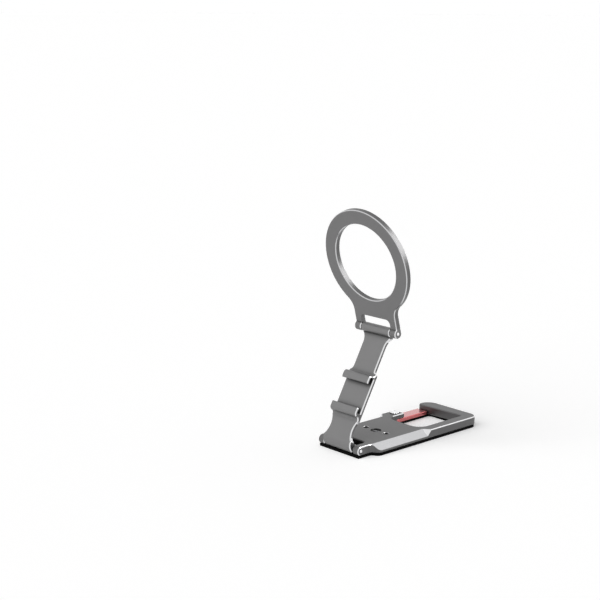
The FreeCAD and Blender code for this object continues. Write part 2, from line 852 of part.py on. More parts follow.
    chamfer_edges(body, "arm_front_edges", size("front_chamfer"), on_front)
    chamfer_edges(body, "arm_back_edges", size("arm_chamfer"), on_back)
    return body


def trim_arm(body, lip_top, lip_bottom):
    """Cuts the arm's front outline: waist below the lips, narrow neck above, full width at both knuckles."""
    sketch = new_sketch(body, "arm_outline", "YZ_Plane")
    wide = size("arm_width") / 2
    waist = size("waist_width") / 2
    neck = size("neck_width") / 2
    end = knuckle_length / 2
    low = size("heel_height")
    half_rise = (lip_bottom - low) / 2
    bow = (end + wide) / 2 - waist
    waist_arc = (half_rise * half_rise + bow * bow) / (2 * bow)
    neck_low = size("neck_bottom")
    neck_high = size("neck_top")
    step = wide - neck
    fall = neck_low - lip_top
    lip_arc = (step * step + fall * fall) / (2 * step)
    crown_step = end - neck
    rise = size("crown_flare")
    crown_arc = (crown_step * crown_step + rise * rise) / (2 * crown_step)
    below = -size("knuckle_radius") * 2
    above = size("arm_reach") + size("knuckle_radius") * 2
    outside = size("base_width")
    for side, turn in ((1, "right"), (-1, "left")):
        draw_outline(sketch, [
            (side * end, below),
            (side * end, low, waist_arc, turn),
            (side * wide, lip_bottom),
            (side * wide, lip_top, lip_arc, turn),
            (side * neck, neck_low),
            (side * neck, neck_high, crown_arc, turn),
            (side * end, neck_high + rise),
            (side * end, above),
            (side * outside, above),
            (side * outside, below),
        ])
    add_feature(body, "Pocket", "arm_trim", sketch, 4 * plate_back + 4 * size("lip_height"), both_ways=True)


def make_ring_frame():
    """Flat ring with a filleted neck, a window over the knuckle, two ears and a recess for the magnets."""
    body = new_body("ring_frame", ring_along, 0, ring_up, ring_lean)
    outer = size("ring_outer") / 2
    inner = ring_inner
    centre = ring_reach
    fillet = size("neck_fillet")
    front = size("ring_thickness") - size("ring_back")
    reach = outer + fillet
    side_reach = half_deck + fillet
    fillet_drop = leg(reach, side_reach)
    fillet_up = centre - fillet_drop
    share = outer / reach
    touch_y = side_reach * share
    touch_z = centre - fillet_drop * share
    window = size("neck_window")
    corner = size("neck_window_corner")

    sketch = new_sketch(body, "ring_plan", "YZ_Plane", -size("ring_back"))
    draw_outline(sketch, [
        (half_slot, 0),
        (half_deck, 0),
        (half_deck, fillet_up, fillet, "right"),
        (touch_y, touch_z, outer, "left"),
        (outer, centre, outer, "left"),
        (0, centre + outer, outer, "left"),
        (-outer, centre, outer, "left"),
        (-touch_y, touch_z, fillet, "right"),
        (-half_deck, fillet_up),
        (-half_deck, 0),
        (-half_slot, 0),
        (-half_slot, window - corner, corner, "right"),
        (corner - half_slot, window),
        (half_slot - corner, window, corner, "right"),
        (half_slot, window - corner),
    ])
    draw_circle(sketch, 0, centre, inner)
    add_feature(body, "Pad", "ring_plate", sketch, size("ring_thickness"))

    # The ears are round bars behind the plate, cut flat on its magnetic face.
    ear = size("ring_ear_radius")
    flat = leg(ear, front)
    sketch = new_sketch(body, "ring_ear_section", "XZ_Plane")
    draw_outline(sketch, [
        (front, -flat),
        (front, flat, ear, "left"),
        (-ear, 0, ear, "left"),
    ])
    add_feature(body, "Pad", "ring_ear_bar", sketch, size("deck_width"), both_ways=True)
    sketch = new_sketch(body, "ring_ear_gap_outline", "YZ_Plane")
    draw_outline(sketch, block_corners(-half_slot, half_slot, -2 * ear, window - corner))
    add_feature(body, "Pocket", "ring_ear_gap", sketch, 4 * ear, both_ways=True)
    cut_hole(body, "ring_pin_hole", "XZ_Plane", 0, 0, pin_radius + size("seat_clearance"))

    sketch = new_sketch(body, "magnet_recess_plan", "YZ_Plane", front)
    draw_circle(sketch, 0, centre, outer - size("rim_wall"))
    draw_circle(sketch, 0, centre, inner + size("rim_wall"))
    add_feature(body, "Pocket", "magnet_recess", sketch, recess_depth)

    back_face = -size("ring_back").value
    neck_line = max(fillet_up.value, window.value)

    def on_ring_edge(edge):
        return lies_at(edge, "X", back_face) and edge.BoundBox.ZMax > neck_line + NEAR

    chamfer_edges(body, "ring_edges", size("ring_chamfer"), on_ring_edge)

    def on_ear_rim(edge):
        return any(on_rim(edge, place, [ear]) for place in (half_deck, half_slot))

    chamfer_edges(body, "ring_ear_edges", size("ring_chamfer"), on_ear_rim)
    return body


# Stack in the ring's recess, from its floor to its magnetic face.
recess_depth = (size("yoke_thickness") + size("magnet_thickness")
                + size("cover_thickness") - size("cover_proud"))
recess_floor = size("ring_thickness") - size("ring_back") - recess_depth
recess_inner = ring_inner + size("rim_wall") + size("ring_fit")
recess_outer = size("ring_outer") / 2 - size("rim_wall") - size("ring_fit")
ring_centre_along = ring_along + ring_reach * sine(ring_lean)
ring_centre_up = ring_up + ring_reach * cosine(ring_lean)


def make_ring_washer(name, floor, thickness):
    """A flat annulus lying in the ring's recess."""
    body = new_body(name, ring_centre_along, 0, ring_centre_up, ring_lean)
    sketch = new_sketch(body, f"{name}_plan", "YZ_Plane", floor)
    draw_circle(sketch, 0, 0, recess_outer)
    draw_circle(sketch, 0, 0, recess_inner)
    add_feature(body, "Pad", f"{name}_sheet", sketch, thickness)
    return body


def make_ring_magnets():
    """Magnet segments set round the ring, a small gap between each two."""
    body = new_body("ring_magnets", ring_centre_along, 0, ring_centre_up, ring_lean)
    body.AllowCompound = True
    sketch = new_sketch(body, "magnet_plan", "YZ_Plane", recess_floor + size("yoke_thickness"))
    half_turn = 180 / size("magnet_count")
    middle = (recess_inner + recess_outer) / 2
    half_angle = half_turn - size("magnet_gap") / middle * (90 / math.pi)
    spread = sine(half_angle)
    rise = cosine(half_angle)
    draw_outline(sketch, [
        (recess_inner * rise, -recess_inner * spread),
        (recess_outer * rise, -recess_outer * spread, recess_outer, "left"),
        (recess_outer * rise, recess_outer * spread),
        (recess_inner * rise, recess_inner * spread, recess_inner, "right"),
    ])
    segment = add_feature(body, "Pad", "magnet_segment", sketch, size("magnet_thickness"))
    pattern = body.newObject("PartDesign::PolarPattern", "magnet_circle")
    pattern.Originals = [segment]
    axis = next(item for item in body.Origin.OriginFeatures if item.Role == "X_Axis")
    pattern.Axis = (axis, [""])
    pattern.Angle = 360
    bind(pattern, "Occurrences", size("magnet_count"))
    body.Tip = pattern
    doc.recompute()
    return body


parts = [make_base_plate(), make_base_pad(), make_gate(), make_gate_pin(), make_gate_spring()]
parts += make_hinge_set("base", hinge_along, hinge_up)
parts += [make_arm()]
parts += make_hinge_set("ring", ring_along, ring_up)
parts += [make_ring_frame()]
parts += [make_ring_washer("ring_yoke", recess_floor, size("yoke_thickness"))]
parts += [make_ring_magnets()]
cover_floor = recess_floor + size("yoke_thickness") + size("magnet_thickness")
parts += [make_ring_washer("ring_cover", cover_floor, size("cover_thickness"))]
doc.recompute()

failed = [item.Name for item in doc.Objects if "Invalid" in item.State or "Error" in item.State]
failed += [part.Label for part in parts if part.Shape.isNull() or not part.Shape.isValid()]
if failed:
    raise RuntimeError(f"not built: {failed}")
os.makedirs("parts", exist_ok=True)
for part in parts:
    part.Shape.exportStep(f"parts/{part.Label}.step")
    print(f"{part.Label}: {len(part.Shape.Solids)} solids, {part.Shape.Volume:.1f} mm3")
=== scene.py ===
import json
import math

import bpy
import numpy as np
from mathutils import Matrix, Vector


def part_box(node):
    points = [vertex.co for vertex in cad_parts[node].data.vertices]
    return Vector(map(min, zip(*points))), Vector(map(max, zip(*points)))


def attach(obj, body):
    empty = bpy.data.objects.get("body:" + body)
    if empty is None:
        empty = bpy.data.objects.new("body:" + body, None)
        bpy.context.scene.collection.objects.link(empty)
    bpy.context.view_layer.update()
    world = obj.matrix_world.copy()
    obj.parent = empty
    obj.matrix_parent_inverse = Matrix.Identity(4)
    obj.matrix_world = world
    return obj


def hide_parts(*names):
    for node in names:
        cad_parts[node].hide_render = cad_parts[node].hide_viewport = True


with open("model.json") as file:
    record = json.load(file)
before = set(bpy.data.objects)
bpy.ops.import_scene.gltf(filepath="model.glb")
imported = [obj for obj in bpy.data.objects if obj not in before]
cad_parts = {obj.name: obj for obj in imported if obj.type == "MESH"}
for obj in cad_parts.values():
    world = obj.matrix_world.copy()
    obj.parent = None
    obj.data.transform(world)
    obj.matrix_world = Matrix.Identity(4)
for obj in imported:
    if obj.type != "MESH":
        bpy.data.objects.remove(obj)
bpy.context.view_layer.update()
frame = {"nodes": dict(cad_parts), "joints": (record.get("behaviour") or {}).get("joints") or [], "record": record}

# Base plate. One machined aluminium plate, bead blasted and anodised dark grey. Its upright walls are milled
# smooth, and its bevels and outer edges are cut bright with a diamond tool after anodising.
MM = 0.001
ALONG = (1, 0, 0)
ACROSS = (0, 1, 0)
UP = (0, 0, 1)
hinge_at = {joint["name"]: Vector(joint["pos_m"]) for joint in frame["joints"]}
mount_at = {mount["name"]: mount for mount in frame["record"]["mounts"]}
deck_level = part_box("base_plate")[1][2]

BASE_GREY = (0.140, 0.139, 0.140)
WALL_GREY = (0.130, 0.129, 0.130)
EDGE_GREY = (0.74, 0.74, 0.75)
BEVEL_GREY = (0.54, 0.54, 0.55)
BEVEL_SINE = 0.775
BEVEL_SPREAD = 0.035
SATIN_METAL = 0.6
SATIN_ROUGHNESS = 0.48
WALL_ROUGHNESS = 0.38
CUT_ROUGHNESS = 0.2
ROUGHNESS_PLAY = 0.05
DYE_CLOUDS = 90.0
DYE_PLAY = 0.04
BLAST_GRAIN = 5200.0
BLAST_DEPTH = 0.012 * MM
TOOL_MARKS = 900.0
# Painted shade in folds: the satin colour darkens where ambient occlusion finds nearby surfaces.
FOLD_REACH = 4.0 * MM
FOLD_PAINTED_SHADE = 0.25
FOLD_SHUT = 0.5
FOLD_OPEN = 0.97
FACET_SINE = 0.72
FACET_SPREAD = 0.2
WALL_SINE = 0.2
FACE_SINE = 0.75
LOOP_END = 30.0 * MM
OUTWARD_REACH = 8.0 * MM
LEAF_REACH = 7.0 * MM
LEAF_LEAN = -0.3
# Painted shade in the countersinks, and the depth below the deck where it starts on the locating holes.
HOLE_PAINTED_SHADE = (0.022, 0.022, 0.022)
HOLES_ALONG = 4.0 * MM
HOLES_ACROSS = 10.0 * MM
HOLE_SHADE_START = 0.11 * MM
TAPPED_REACH = 4.5 * MM


class Nodes:
    """A node tree with short calls for adding a node and linking its sockets."""

    def __init__(self, owner, shader):
        owner.use_nodes = True
        self.owner = owner
        self.tree = owner.node_tree
        self.shader = self.tree.nodes[shader]

    def put(self, socket, value):
        """Links an output socket, or sets a plain value."""
        if isinstance(value, bpy.types.NodeSocket):
            self.tree.links.new(value, socket)
        else:
            socket.default_value = value

    def add(self, kind, inputs=(), **settings):
        """Adds a node; inputs gives (socket, value or output socket) pairs."""
        node = self.tree.nodes.new(kind)
        for key, value in settings.items():
            setattr(node, key, value)
        for socket, value in dict(inputs).items():
            self.put(node.inputs[socket], value)
        return node

    def set(self, **inputs):
        """Sets the shader's own sockets, named with underscores for spaces."""
        for key, value in inputs.items():
            self.put(self.shader.inputs[key.replace("_", " ")], value)

    def math(self, operation, *values):
        """One Math node's result."""
        return self.add("ShaderNodeMath", enumerate(values), operation=operation).outputs[0]

    def dot(self, vector, direction):
        """A vector's length along a fixed direction."""
        inputs = {0: vector, 1: tuple(direction)}
        return self.add("ShaderNodeVectorMath", inputs, operation="DOT_PRODUCT").outputs["Value"]

    def stretch(self, place, scale):
        """Coordinates scaled along each axis by a number of its own."""
        return self.add("ShaderNodeMapping", {"Vector": place, "Scale": scale}).outputs["Vector"]

    def noise(self, place, scale, detail=2.0, roughness=0.5):
        """Noise between 0 and 1, with its scale in waves to the unit of its coordinates."""
        inputs = {"Vector": place, "Scale": scale, "Detail": detail, "Roughness": roughness}
        return self.add("ShaderNodeTexNoise", inputs).outputs["Fac"]

    def spread(self, value, low, high):
        """A value of 0 to 1 carried to another range."""
        inputs = {"Value": value, "To Min": low, "To Max": high}
        return self.add("ShaderNodeMapRange", inputs).outputs["Result"]

    def vary(self, value, middle, play):
        """A value of 0 to 1 carried to a range about a middle."""
        return self.spread(value, middle - play, middle + play)

    def rise(self, value, start, end):
        """0 before start, 1 past end, and a smooth step between them."""
        inputs = {"Value": value, "From Min": start, "From Max": end}
        return self.add("ShaderNodeMapRange", inputs, interpolation_type="SMOOTHSTEP").outputs["Result"]

    def blend(self, share, first, second):
        """Two numbers mixed by a share."""
        return self.add("ShaderNodeMix", {"Factor": share, "A": first, "B": second}).outputs["Result"]

    def mix(self, share, first, second):
        """Two colours mixed by a share."""
        node = self.add("ShaderNodeMix", data_type="RGBA")
        sockets = [s for s in node.inputs if s.type == "RGBA"]
        self.put(node.inputs["Factor"], share)
        for socket, colour in zip(sockets, (first, second)):
            self.put(socket, colour if isinstance(colour, bpy.types.NodeSocket) else (*colour, 1.0))
        return next(s for s in node.outputs if s.type == "RGBA")

    def bump(self, height, depth):
        """A normal bent by a height of 0 to 1 over a depth in metres."""
        inputs = {"Height": height, "Distance": depth, "Strength": 1.0}
        return self.add("ShaderNodeBump", inputs).outputs["Normal"]


def new_finish(name):
    """A material's nodes, with its shader ready."""
    return Nodes(bpy.data.materials.new(name), "Principled BSDF")


def shaded(colour, share):
    """A colour made darker or lighter by a share."""
    return [channel * share for channel in colour]


def slanted(nodes, normal, direction):
    """1 on facets that lean about half way between a direction and the plane square to it."""
    slant = nodes.math("ABSOLUTE", nodes.dot(normal, direction))
    return nodes.math("COMPARE", slant, FACET_SINE, FACET_SPREAD)


def upright(nodes, normal, direction):
    """1 on walls along a direction, 0 on faces square to it."""
    slant = nodes.math("ABSOLUTE", nodes.dot(normal, direction))
    return nodes.math("SUBTRACT", 1.0, nodes.rise(slant, WALL_SINE, FACE_SINE))


def anodised(name, grey, finish):
    """Anodised aluminium. finish(nodes, normal, place) gives the masks of the bright cut facets and of the
    smooth milled walls, and the facets' colour. The rest is bead blasted, with fine grain in bump and
    roughness and faint clouds of colour, and painted shade darkens it in tight folds."""
    nodes = new_finish(name)
    coords = nodes.add("ShaderNodeTexCoord")
    place = coords.outputs["Object"]
    cut, wall, bright = finish(nodes, coords.outputs["Normal"], place)
    smooth = nodes.math("MAXIMUM", cut, wall)
    cloud = nodes.noise(place, DYE_CLOUDS, detail=3.0)
    grain = nodes.noise(place, BLAST_GRAIN, roughness=0.6)
    tool_marks = nodes.noise(place, TOOL_MARKS, detail=1.0)
    # Painted shade: the satin colour darkens in tight folds, where nearby surfaces close round it.
    nearby = nodes.add("ShaderNodeAmbientOcclusion", {"Distance": FOLD_REACH}, only_local=True)
    unshaded_share = nodes.rise(nearby.outputs["AO"], FOLD_SHUT, FOLD_OPEN)
    dyed = nodes.mix(cloud, shaded(grey, 1 - DYE_PLAY), shaded(grey, 1 + DYE_PLAY))
    satin = nodes.mix(unshaded_share, shaded(grey, FOLD_PAINTED_SHADE), dyed)
    satin_rough = nodes.vary(grain, SATIN_ROUGHNESS, ROUGHNESS_PLAY)
    cut_rough = nodes.vary(tool_marks, CUT_ROUGHNESS, ROUGHNESS_PLAY)
    relief = nodes.math("MULTIPLY", grain, nodes.math("SUBTRACT", 1.0, smooth))
    nodes.set(Base_Color=nodes.mix(cut, nodes.mix(wall, satin, WALL_GREY), bright),
              Roughness=nodes.blend(cut, nodes.blend(wall, satin_rough, WALL_ROUGHNESS), cut_rough),
              Metallic=nodes.spread(smooth, SATIN_METAL, 1.0),
              Normal=nodes.bump(relief, BLAST_DEPTH))
    return nodes.owner


def paint(node_name, material):
    """Gives a CAD node its finish."""
    for slot in frame["nodes"][node_name].material_slots:
        slot.material = material


def facing_out(nodes, normal, place):
    """1 where the surface looks out from the plate's sides, or from its end past the loop."""
    across = nodes.math("MULTIPLY", nodes.dot(place, ACROSS), nodes.dot(normal, ACROSS))
    past_loop = nodes.math("MAXIMUM", nodes.math("SUBTRACT", nodes.dot(place, ALONG), LOOP_END), 0.0)
    outward = nodes.math("MULTIPLY_ADD", past_loop, nodes.dot(normal, ALONG), across)
    return nodes.math("GREATER_THAN", outward, OUTWARD_REACH)


def on_leaf_edge(nodes, normal, place):
    """1 where the leaf over the gate looks in towards the middle of the plate."""
    pivot = {0: place, 1: hinge_at["gate_hinge"]}
    from_pivot = nodes.add("ShaderNodeVectorMath", pivot, operation="DISTANCE").outputs["Value"]
    near_pivot = nodes.math("LESS_THAN", from_pivot, LEAF_REACH)
    return nodes.math("MULTIPLY", near_pivot, nodes.math("LESS_THAN", nodes.dot(normal, ACROSS), LEAF_LEAN))


def round_holes(nodes, place):
    """1 in the stretch of deck that holds the tapped hole and the two locating holes."""
    tapped_x = mount_at["tripod_thread"]["pos_m"][0]
    along_holes = nodes.math("COMPARE", nodes.dot(place, ALONG), tapped_x, HOLES_ALONG)
    across_holes = nodes.math("COMPARE", nodes.dot(place, ACROSS), 0.0, HOLES_ACROSS)
    return nodes.math("MULTIPLY", along_holes, across_holes)


def base_finish(nodes, normal, place):
    """Bright on the slanted facets that look out and on the leaf's inner edge, which leaves the slot and the
    loop's inner edge as blasted. Behind the hinge line, bright on the ears' end rims. The broad bevel, a
    little flatter than the edges, is less bright. The countersinks carry painted shade, which on the locating
    holes starts a little below the deck and leaves a fine bright line there."""
    facets = slanted(nodes, normal, UP)
    picked = nodes.math("MAXIMUM", facing_out(nodes, normal, place), on_leaf_edge(nodes, normal, place))
    past_ears = nodes.math("GREATER_THAN", nodes.dot(place, ALONG), hinge_at["base_hinge"].x)
    edges = nodes.blend(past_ears, slanted(nodes, normal, ACROSS), nodes.math("MULTIPLY", facets, picked))
    # Painted shade in the countersinks: all of the tapped hole's, and the locating holes' below a bright line.
    countersinks = nodes.math("MULTIPLY", facets, round_holes(nodes, place))
    sunk = nodes.math("LESS_THAN", nodes.dot(place, UP), deck_level - HOLE_SHADE_START)
    tapped = nodes.math("COMPARE", nodes.dot(place, ACROSS), 0.0, TAPPED_REACH)
    painted_shade = nodes.math("MULTIPLY", countersinks, nodes.math("MAXIMUM", sunk, tapped))
    bevel = nodes.math("COMPARE", nodes.dot(normal, UP), BEVEL_SINE, BEVEL_SPREAD)
    bright = nodes.mix(painted_shade, nodes.mix(bevel, EDGE_GREY, BEVEL_GREY), HOLE_PAINTED_SHADE)
    wall = nodes.math("MULTIPLY", upright(nodes, normal, UP), past_ears)
    return nodes.math("MAXIMUM", edges, countersinks), wall, bright


paint("base_plate", anodised("satin_base", BASE_GREY, base_finish))

# Tripod thread. A quarter-inch thread of twenty turns to the inch, tapped in the deck's bore after it was
# anodised, so it is bare metal. Its ridge runs out at both mouths of the bore.
THREAD_GREY = (0.42, 0.42, 0.43)
THREAD_PITCH = 1.27 * MM
THREAD_HEIGHT = 0.24 * MM
THREAD_SUNK = 0.05 * MM
THREAD_STEPS = 48
ROOT_SHARE = 0.42
CREST_SHARE = 0.1
RUN_OUT_TURNS = 0.4
RUN_OUT_SHARE = 0.02
TURNED_SHADE = 0.94
TURNED_STRETCH = 60.0
TURNED_FINER = 0.05
TURNED_COARSER = 0.06
TURNED_DEPTH = 0.003 * MM
bore = mount_at["tripod_thread"]
bore_radius = bore["dims"]["r_mm"] * MM
bore_length = bore["dims"]["length_mm"] * MM


def helix_ridge(centre, radius, length, pitch, height):
    """A ridge carried along a helix inside a bore: a trapezium section of four corners whose inner two stand
    off the wall by the ridge's height, times a ramp that falls to a small share over each end's run-out."""
    turns = (length - pitch) / pitch
    along = np.linspace(0, turns, round(turns * THREAD_STEPS) + 1)
    ramp = np.clip(np.minimum(along, turns - along) / RUN_OUT_TURNS, RUN_OUT_SHARE, 1)
    reach = np.array([-THREAD_SUNK, height, height, -THREAD_SUNK])
    rise = np.array([-ROOT_SHARE, -CREST_SHARE, CREST_SHARE, ROOT_SHARE]) * pitch
    angle = along[:, None] * 2 * np.pi
    standing = radius - np.where(reach > 0, reach * ramp[:, None], reach)
    level = centre[2] - length / 2 + pitch / 2 + along[:, None] * pitch + rise
    x = centre[0] + standing * np.cos(angle)
    y = centre[1] + standing * np.sin(angle)
    return np.stack([x, y, level], axis=-1)


def closed_faces(rings, count):
    """Quads that join each closed ring of points to the next, and one flat face over each end ring."""
    ring, corner = np.meshgrid(np.arange(rings - 1), np.arange(count), indexing="ij")
    following = (corner + 1) % count
    quads = [ring * count + corner, ring * count + following,
             (ring + 1) * count + following, (ring + 1) * count + corner]
    last = (rings - 1) * count
    ends = [list(range(count))[::-1], list(range(last, last + count))]
    return np.stack(quads, axis=-1).reshape(-1, 4).tolist() + ends


def new_piece(name, points, body, material, sharp_degrees):
    """Joins rings of points in a mesh, smooth but for edges past an angle, and rides it on a body."""
    mesh = bpy.data.meshes.new(name)
    mesh.from_pydata(points.reshape(-1, 3).tolist(), [], closed_faces(*points.shape[:2]))
    mesh.validate()
    mesh.shade_smooth()
    mesh.set_sharp_from_angle(angle=math.radians(sharp_degrees))
    mesh.materials.append(material)
    piece = bpy.data.objects.new(name, mesh)
    bpy.context.scene.collection.objects.link(piece)
    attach(piece, body)
    return piece


def turned_metal(name, grey, roughness, lines):
    """Bright bare metal with fine tool lines, so many to the metre, across the piece."""
    nodes = new_finish(name)
    place = nodes.add("ShaderNodeTexCoord").outputs["Object"]
    marks = nodes.noise(nodes.stretch(place, (TURNED_STRETCH, lines, TURNED_STRETCH)), 1.0)
    nodes.set(Base_Color=nodes.mix(marks, shaded(grey, TURNED_SHADE), grey), Metallic=1.0,
              Roughness=nodes.spread(marks, roughness - TURNED_FINER, roughness + TURNED_COARSER),
              Normal=nodes.bump(marks, TURNED_DEPTH))
    return nodes.owner


thread_points = helix_ridge(bore["pos_m"], bore_radius, bore_length, THREAD_PITCH, THREAD_HEIGHT)
thread_finish = turned_metal("thread_bare", THREAD_GREY, roughness=0.3, lines=3000.0)
new_piece("tripod_thread", thread_points, "base", thread_finish, sharp_degrees=25)

# Anti-slip pad. A thin sheet of black silicone rubber, moulded with a fine matt grain and glued under the
# base. It is one closed loop that also runs under the gate, with a hole for the tripod's screw. Under the
# gate the black sheet stands in for the shadow there, as a painted shadow.
# The pad's black is the rubber's own, and under the gate also a painted shadow.
PAD_BLACK_AND_SHADE = (0.002, 0.002, 0.002)
DUST_SPECKS = 240.0
DUST_SHADE = 1.8
MATT_ROUGHNESS = (0.66, 0.86)


def matt_moulded(name, black, grain, depth, gloss):
    """Moulded rubber or plastic: fine matt grain in bump, and a little dust in the colour."""
    nodes = new_finish(name)
    place = nodes.add("ShaderNodeTexCoord").outputs["Object"]
    moulded = nodes.noise(place, grain, detail=3.0, roughness=0.6)
    dust = nodes.noise(place, DUST_SPECKS, detail=4.0)
    nodes.set(Base_Color=nodes.mix(dust, black, shaded(black, DUST_SHADE)), Specular_IOR_Level=gloss,
              Roughness=nodes.spread(moulded, *MATT_ROUGHNESS), Normal=nodes.bump(moulded, depth))
    return nodes.owner


paint("base_pad", matt_moulded("pad_rubber", PAD_BLACK_AND_SHADE, grain=3600.0, depth=0.03 * MM, gloss=0.04))

# Carabiner gate. A flat aluminium bar, brushed along its length and anodised light red, with a sealed dye
# layer. It turns on a riveted pin under the leaf, and a strip spring holds it closed.
GATE_RED = (0.54, 0.11, 0.115)
GATE_METAL = 0.85
GATE_ROUGHNESS = (0.2, 0.3)
SEAL_ROUGHNESS = 0.1
BRUSH_LINES = (160.0, 3000.0, 3000.0)
BRUSH_PLAY = 0.08
BRUSH_DEPTH = 0.004 * MM


def red_anodised(name, red):
    """Red anodised aluminium: a smooth bar under a clear sealed dye layer, with fine brushing along it."""
    nodes = new_finish(name)
    place = nodes.add("ShaderNodeTexCoord").outputs["Object"]
    brush = nodes.noise(nodes.stretch(place, BRUSH_LINES), 1.0, detail=3.0, roughness=0.6)
    nodes.set(Base_Color=nodes.mix(brush, shaded(red, 1 - BRUSH_PLAY), shaded(red, 1 + BRUSH_PLAY)),
              Metallic=GATE_METAL, Roughness=nodes.spread(brush, *GATE_ROUGHNESS),
              Normal=nodes.bump(brush, BRUSH_DEPTH), Coat_Weight=1.0, Coat_Roughness=SEAL_ROUGHNESS)
    return nodes.owner


paint("gate", red_anodised("gate_red_dye", GATE_RED))

# Gate pin. A turned steel rivet whose broad head on the deck has a coin edge, to be held while it is set,
# and whose small flange is sunk in the gate's underside.
PIN_STEEL = (0.90, 0.90, 0.91)
# Painted shade on the rivet head's upright walls, for the shadow in its notches.
KNURL_PAINTED_SHADE = (0.045, 0.045, 0.046)
FACED_MARKS = 2200.0
FACED_ROUGHNESS = (0.15, 0.26)
SHANK_RADIUS = 1.0 * MM
FLANGE_RADIUS = 1.6 * MM
FLANGE_HEIGHT = 0.6 * MM
HEAD_HEIGHT = 0.6 * MM
HEAD_BREAK = 0.22 * MM
NOTCH_COUNT = 14
NOTCH_DEPTH = 0.34 * MM
NOTCH_POWER = 8
NOTCH_STEPS = 12


def coin_edged(name, grey, painted_shade):
    """Bright faced steel, with painted shade on its upright walls for the shadow in the coin edge's notches."""
    nodes = new_finish(name)
    coords = nodes.add("ShaderNodeTexCoord")
    marks = nodes.noise(coords.outputs["Object"], FACED_MARKS)
    faced = nodes.mix(marks, shaded(grey, TURNED_SHADE), grey)
    wall = upright(nodes, coords.outputs["Normal"], UP)
    nodes.set(Base_Color=nodes.mix(wall, faced, painted_shade), Metallic=1.0,
              Roughness=nodes.spread(marks, *FACED_ROUGHNESS), Normal=nodes.bump(marks, TURNED_DEPTH))
    return nodes.owner


def notched_rivet(centre, low, top, head_radius):
    """A profile turned about an upright axis, from the flange up to the flat inside the notches. On the
    head's edge the radius is cut back by the notch depth times a high power of the cosine of half the notch
    count times the angle, which gives narrow round notches."""
    deck = top - HEAD_HEIGHT
    flat_radius = head_radius - NOTCH_DEPTH - 2 * HEAD_BREAK
    profile = np.array([
        (FLANGE_RADIUS, low, 0), (FLANGE_RADIUS, low + FLANGE_HEIGHT, 0),
        (SHANK_RADIUS, low + FLANGE_HEIGHT, 0), (SHANK_RADIUS, deck, 0),
        (head_radius, deck, 1), (head_radius, top - HEAD_BREAK, 1),
        (head_radius - HEAD_BREAK, top, 1), (flat_radius, top, 0),
    ])
    radius, level, notched = (column[:, None] for column in profile.T)
    angle = np.linspace(0, 2 * np.pi, NOTCH_COUNT * NOTCH_STEPS, endpoint=False)
    reach = radius - notched * NOTCH_DEPTH * np.cos(angle * NOTCH_COUNT / 2) ** NOTCH_POWER
    x = centre.x + reach * np.cos(angle)
    y = centre.y + reach * np.sin(angle)
    return np.stack([x, y, np.broadcast_to(level, reach.shape)], axis=-1)


pin_low, pin_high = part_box("gate_pivot_pin")
head_radius = (pin_high[0] - pin_low[0]) / 2
rivet_points = notched_rivet(hinge_at["gate_hinge"], pin_low[2], pin_high[2], head_radius)
rivet_finish = coin_edged("rivet_coin_edge", PIN_STEEL, KNURL_PAINTED_SHADE)
rivet = new_piece("gate_rivet", rivet_points, "base", rivet_finish, sharp_degrees=30)
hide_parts("gate_pivot_pin")

# Hinge pins, friction sleeves and gate spring. Turned steel pins with bright faced ends, and springs of
# drawn steel that are hidden in the knuckles and under the leaf.
SPRING_STEEL = (0.52, 0.52, 0.54)
pin_finish = turned_metal("pin_bright", PIN_STEEL, roughness=0.2, lines=6000.0)
spring_finish = turned_metal("spring_drawn", SPRING_STEEL, roughness=0.3, lines=4000.0)
for pin in ("base_hinge_pin", "ring_hinge_pin"):
    paint(pin, pin_finish)
for spring in ("gate_spring", "base_friction_sleeve", "ring_friction_sleeve"):
    paint(spring, spring_finish)

# Hinge washers. Thin black acetal discs that sit on the pins between the ears and the knuckles, and keep the
# hinges from grating.
WASHER_BLACK = (0.02, 0.02, 0.021)
washer_acetal = matt_moulded("washer_acetal", WASHER_BLACK, grain=2400.0, depth=0.01 * MM, gloss=0.2)
for washers in ("base_hinge_washers", "ring_hinge_washers"):
    paint(washers, washer_acetal)

# Arm. One piece of aluminium, milled to a waist with two lips on its back, finished as the base is. Its
# edges are all cut bright, and all of them run along it.
ARM_GREY = (0.202, 0.201, 0.202)


def arm_finish(nodes, normal, place):
    """Bright on facets that lean half way to the hinge's axis, smooth on the walls square to that axis."""
    lean = nodes.math("ABSOLUTE", nodes.dot(normal, ACROSS))
    return slanted(nodes, normal, ACROSS), nodes.rise(lean, WALL_SINE, FACE_SINE), EDGE_GREY


paint("arm", anodised("satin_arm", ARM_GREY, arm_finish))

# Ring. A milled aluminium frame with a filleted neck and two ears, finished as the base is. Its rims are
# turned smooth, and their edges are cut a little less bright than the ends of the ears.
RING_GREY = (0.168, 0.167, 0.168)
TURNED_EDGE_GREY = (0.58, 0.58, 0.59)
EAR_REACH = 3.0 * MM
ring_faced = Vector(mount_at["phone_face"]["axis"])
ring_up = Vector((-ring_faced.z, 0, ring_faced.x))


def ring_finish(nodes, normal, place):
    """Bright on facets slanted to the ring's plane and smooth on its rims. Round the ears, whose bars turn
    through every slant, bright only on the chamfers of their ends."""
    ears_end = hinge_at["ring_hinge"].dot(ring_up) + EAR_REACH
    past_ears = nodes.math("GREATER_THAN", nodes.dot(place, ring_up), ears_end)
    cut = nodes.blend(past_ears, slanted(nodes, normal, ACROSS), slanted(nodes, normal, ring_faced))
    wall = nodes.math("MULTIPLY", upright(nodes, normal, ring_faced), past_ears)
    return cut, wall, nodes.mix(past_ears, EDGE_GREY, TURNED_EDGE_GREY)


paint("ring_frame", anodised("satin_ring", RING_GREY, ring_finish))

